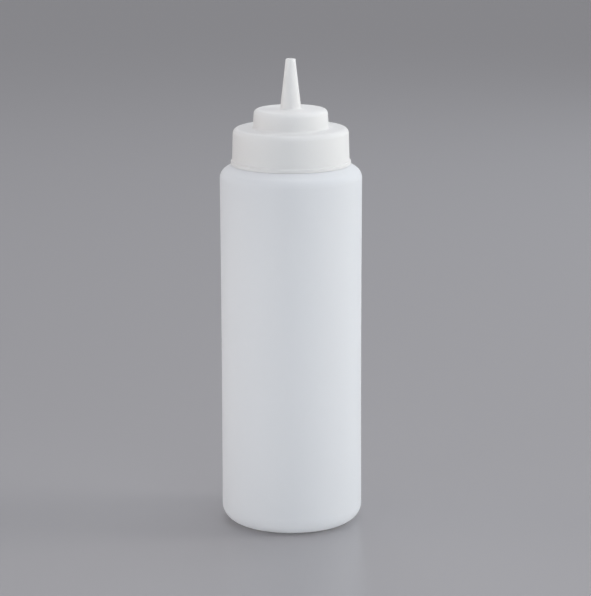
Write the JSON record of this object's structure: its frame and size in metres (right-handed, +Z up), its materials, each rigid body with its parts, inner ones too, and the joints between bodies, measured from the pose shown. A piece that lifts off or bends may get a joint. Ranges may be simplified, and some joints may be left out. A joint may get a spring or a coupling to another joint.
{
  "type": "squeeze bottle",
  "caption": "Wide-mouth cylindrical squeeze bottle in soft translucent plastic, empty, with a stepped white screw cap and a tapered pouring nozzle.",
  "frame": {"origin": "on the bottle's axis, in the plane that its standing ring rests on", "axes": "+Z up along the axis, from the base to the nozzle's tip. Every piece is turned about this axis, so +X and +Y are alike."},
  "size_m": [0.0825, 0.0824, 0.2741],
  "materials": {
    "body_plastic": "smooth, soft and translucent, natural uncoloured polyethylene with a cool grey-white cast",
    "cap_plastic": "smooth semi-gloss natural white polyethylene, slightly translucent"
  },
  "bodies": {
    "root": {"bottle": "body_plastic", "cap": "cap_plastic"}
  },
  "joints": []
}
